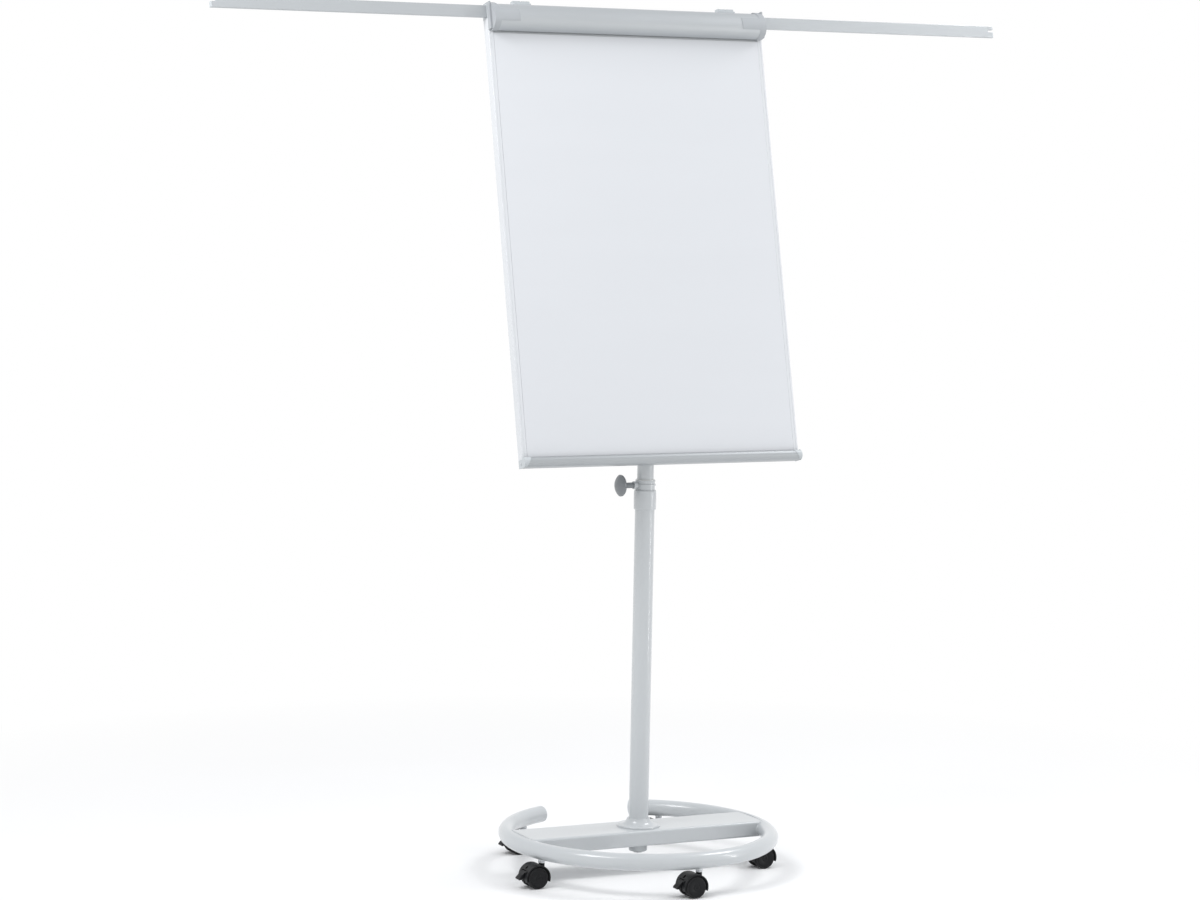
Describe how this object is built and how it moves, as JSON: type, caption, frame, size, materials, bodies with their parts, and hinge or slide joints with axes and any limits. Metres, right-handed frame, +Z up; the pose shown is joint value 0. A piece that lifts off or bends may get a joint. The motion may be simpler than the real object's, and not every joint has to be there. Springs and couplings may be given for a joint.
{
  "type": "flipchart easel",
  "caption": "Mobile flipchart easel: tilted whiteboard with clamp bar, hooks, pull-out side arms and pen tray on a telescopic column and a C-shaped ring base with castors.",
  "frame": {"origin": "on the floor, on the axis of the column, in the middle of the ring base", "axes": "+Z up, the board faces -Y, +X to the right of someone looking along +Y at the board"},
  "size_m": [2.008, 0.6256, 1.9839],
  "materials": {
    "grey_powder": "satin powder coat",
    "white_lacquer": "glossy magnetic lacquer",
    "silver_anodised": "satin anodised",
    "board_core": "raw fibreboard",
    "galvanised": "zinc plated",
    "grey_plastic": "satin moulding",
    "light_plastic": "satin moulding",
    "black_plastic": "satin moulding",
    "white_plastic": "satin moulding",
    "soft_strip": "matt"
  },
  "bodies": {
    "base": {"ring_tube": "grey_powder", "ring_plugs": "light_plastic", "castor_sockets": "galvanised", "castor_stems": "galvanised", "crossbar": "grey_powder", "base_flange": "grey_powder", "post_tube": "grey_powder", "post_foot": "galvanised", "post_bolt": "grey_powder", "clamp_collar": "grey_powder", "collar_screw": "galvanised", "collar_bush": "white_plastic"},
    "knob": {"clamp_knob": "grey_plastic", "knob_screw": "galvanised"},
    "glide": {"tube_glide": "white_plastic"},
    "head": {"inner_tube": "grey_powder", "tube_cap": "black_plastic", "tube_brackets": "grey_powder", "tube_straps": "galvanised", "board_spreaders": "silver_anodised", "board_screws": "galvanised", "board_panel": "white_lacquer", "board_core": "board_core", "board_backing": "galvanised", "frame_left": "silver_anodised", "frame_right": "silver_anodised", "frame_bottom": "silver_anodised", "pen_tray": "silver_anodised", "tray_caps": "light_plastic", "hinge_lugs": "grey_plastic", "top_rail": "silver_anodised", "rail_caps": "light_plastic"},
    "clamp": {"clamp_bar": "silver_anodised", "bar_grip": "soft_strip", "bar_cap_left": "grey_plastic", "bar_cap_right": "grey_plastic"},
    "hook_l": {"hook_left": "grey_plastic"},
    "hook_r": {"hook_right": "grey_plastic"},
    "arm_l": {"arm_left": "silver_anodised", "arm_tip_left": "light_plastic", "arm_stop_left": "white_plastic"},
    "arm_r": {"arm_right": "silver_anodised", "arm_tip_right": "light_plastic", "arm_stop_right": "white_plastic"},
    "castor_1": {"castor_1_housing": "black_plastic"},
    "castor_1_wheel_pair": {"castor_1_wheels": "black_plastic"},
    "castor_1_brake": {"castor_1_pedal": "black_plastic"},
    "castor_2": {"castor_2_housing": "black_plastic"},
    "castor_2_wheel_pair": {"castor_2_wheels": "black_plastic"},
    "castor_2_brake": {"castor_2_pedal": "black_plastic"},
    "castor_3": {"castor_3_housing": "black_plastic"},
    "castor_3_wheel_pair": {"castor_3_wheels": "black_plastic"},
    "castor_3_brake": {"castor_3_pedal": "black_plastic"},
    "castor_4": {"castor_4_housing": "black_plastic"},
    "castor_4_wheel_pair": {"castor_4_wheels": "black_plastic"},
    "castor_4_brake": {"castor_4_pedal": "black_plastic"},
    "castor_5": {"castor_5_housing": "black_plastic"},
    "castor_5_wheel_pair": {"castor_5_wheels": "black_plastic"},
    "castor_5_brake": {"castor_5_pedal": "black_plastic"}
  },
  "joints": [
    {"name": "height_slide", "type": "slide", "parent": "base", "child": "glide", "axis": [0, 0, 1], "range_m": [0, 0.3]},
    {"name": "board_swivel", "type": "hinge", "parent": "glide", "child": "head", "pos_m": [0, 0, 0.33], "axis": [0, 0, 1], "range_deg": [-180, 180]},
    {"name": "knob_turn", "type": "hinge", "parent": "base", "child": "knob", "pos_m": [-0.06, 0, 0.891], "axis": [-1, 0, 0], "range_deg": [0, 360]},
    {"name": "clamp_bar_hinge", "type": "hinge", "parent": "head", "child": "clamp", "pos_m": [0, 0.13956, 1.97212], "axis": [-1, 0, 0], "range_deg": [0, 75]},
    {"name": "hook_left_slide", "type": "slide", "parent": "head", "child": "hook_l", "axis": [1, 0, 0], "range_m": [-0.035, 0.2]},
    {"name": "hook_right_slide", "type": "slide", "parent": "head", "child": "hook_r", "axis": [-1, 0, 0], "range_m": [-0.035, 0.2]},
    {"name": "arm_left_slide", "type": "slide", "parent": "head", "child": "arm_l", "axis": [1, 0, 0], "range_m": [0, 0.64]},
    {"name": "arm_right_slide", "type": "slide", "parent": "head", "child": "arm_r", "axis": [-1, 0, 0], "range_m": [0, 0.64]},
    {"name": "castor_1_swivel", "type": "hinge", "parent": "base", "child": "castor_1", "pos_m": [0, -0.304, 0.045], "axis": [0, 0, 1], "continuous": true},
    {"name": "castor_1_roll", "type": "hinge", "parent": "castor_1", "child": "castor_1_wheel_pair", "pos_m": [-0.017, -0.304, 0.025], "axis": [0, 1, 0], "continuous": true},
    {"name": "castor_1_brake_press", "type": "hinge", "parent": "castor_1", "child": "castor_1_brake", "pos_m": [-0.042, -0.304, 0.038], "axis": [0, -1, 0], "range_deg": [0, 14]},
    {"name": "castor_2_swivel", "type": "hinge", "parent": "base", "child": "castor_2", "pos_m": [0.28912, -0.09394, 0.045], "axis": [0, 0, 1], "continuous": true},
    {"name": "castor_2_roll", "type": "hinge", "parent": "castor_2", "child": "castor_2_wheel_pair", "pos_m": [0.27212, -0.09394, 0.025], "axis": [0, 1, 0], "continuous": true},
    {"name": "castor_2_brake_press", "type": "hinge", "parent": "castor_2", "child": "castor_2_brake", "pos_m": [0.24712, -0.09394, 0.038], "axis": [0, -1, 0], "range_deg": [0, 14]},
    {"name": "castor_3_swivel", "type": "hinge", "parent": "base", "child": "castor_3", "pos_m": [0.17869, 0.24594, 0.045], "axis": [0, 0, 1], "continuous": true},
    {"name": "castor_3_roll", "type": "hinge", "parent": "castor_3", "child": "castor_3_wheel_pair", "pos_m": [0.16169, 0.24594, 0.025], "axis": [0, 1, 0], "continuous": true},
    {"name": "castor_3_brake_press", "type": "hinge", "parent": "castor_3", "child": "castor_3_brake", "pos_m": [0.13669, 0.24594, 0.038], "axis": [0, -1, 0], "range_deg": [0, 14]},
    {"name": "castor_4_swivel", "type": "hinge", "parent": "base", "child": "castor_4", "pos_m": [-0.17869, 0.24594, 0.045], "axis": [0, 0, 1], "continuous": true},
    {"name": "castor_4_roll", "type": "hinge", "parent": "castor_4", "child": "castor_4_wheel_pair", "pos_m": [-0.19569, 0.24594, 0.025], "axis": [0, 1, 0], "continuous": true},
    {"name": "castor_4_brake_press", "type": "hinge", "parent": "castor_4", "child": "castor_4_brake", "pos_m": [-0.22069, 0.24594, 0.038], "axis": [0, -1, 0], "range_deg": [0, 14]},
    {"name": "castor_5_swivel", "type": "hinge", "parent": "base", "child": "castor_5", "pos_m": [-0.28912, -0.09394, 0.045], "axis": [0, 0, 1], "continuous": true},
    {"name": "castor_5_roll", "type": "hinge", "parent": "castor_5", "child": "castor_5_wheel_pair", "pos_m": [-0.30612, -0.09394, 0.025], "axis": [0, 1, 0], "continuous": true},
    {"name": "castor_5_brake_press", "type": "hinge", "parent": "castor_5", "child": "castor_5_brake", "pos_m": [-0.33112, -0.09394, 0.038], "axis": [0, -1, 0], "range_deg": [0, 14]}
  ]
}
